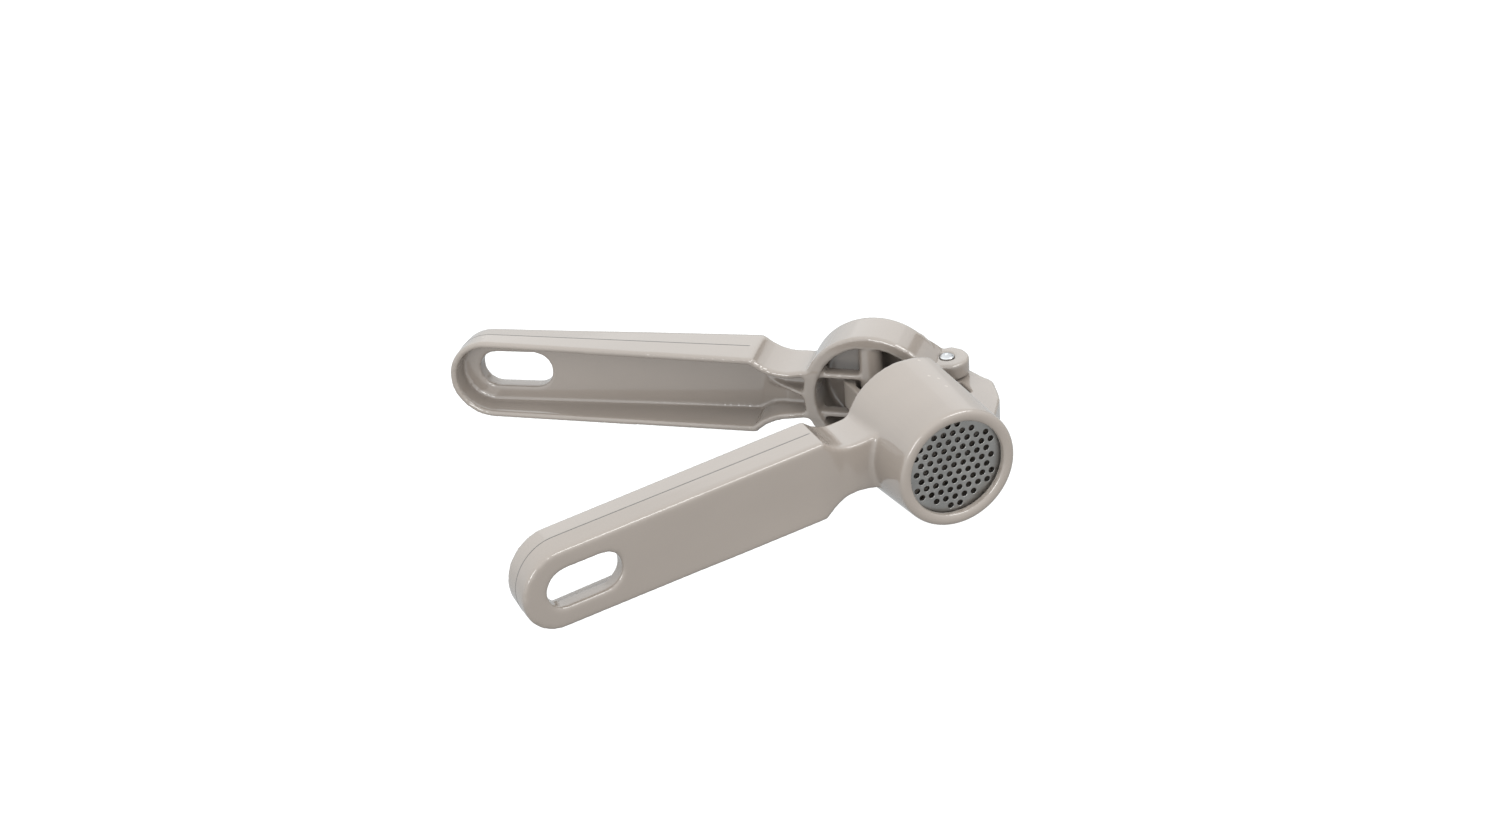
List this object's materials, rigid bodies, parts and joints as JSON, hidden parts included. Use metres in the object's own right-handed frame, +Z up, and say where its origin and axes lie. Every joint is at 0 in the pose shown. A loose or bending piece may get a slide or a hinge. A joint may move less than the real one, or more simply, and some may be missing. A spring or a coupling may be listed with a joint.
{
  "type": "garlic press",
  "caption": "Moulded plastic garlic press, part open: a chamber handle and a plunger handle hinged on a steel pin, with a sliding plunger and a perforated steel strainer.",
  "frame": {"origin": "middle of the foot of the bounding box, with the press lying on its side and the hinge pin upright, at its part-open rest pose", "axes": "+Z up along the hinge pin, +Y along the bore from the strainer towards the plunger, +X from the free ends of the handles towards the hinge"},
  "size_m": [0.1692, 0.1495, 0.0432],
  "materials": {
    "handle_plastic": "warm grey glossy moulded plastic with a faint mould seam",
    "plunger_plastic": "the same warm grey moulded plastic, a little duller",
    "strainer_steel": "punched stainless sheet",
    "pin_steel": "bright steel with domed ends"
  },
  "bodies": {
    "chamber_side": {"chamber_handle": "handle_plastic", "strainer_plate": "strainer_steel"},
    "plunger_side": {"plunger_handle": "handle_plastic", "hinge_pin": "pin_steel"},
    "plunger_slider": {"plunger": "plunger_plastic"}
  },
  "joints": [
    {"name": "handle_hinge", "type": "hinge", "parent": "chamber_side", "child": "plunger_side", "pos_m": [0.07568, -0.02245, 0.0216], "axis": [0, 0, -1], "range_deg": [-38.9, 37.1]},
    {"name": "plunger_slide", "type": "slide", "parent": "chamber_side", "child": "plunger_slider", "axis": [0, 1, 0], "range_m": [-0.01529, 0.01458]}
  ],
  "couplings": [
    {"joint": "plunger_slide", "follows": "handle_hinge", "m_per_rad": 0.0225}
  ]
}
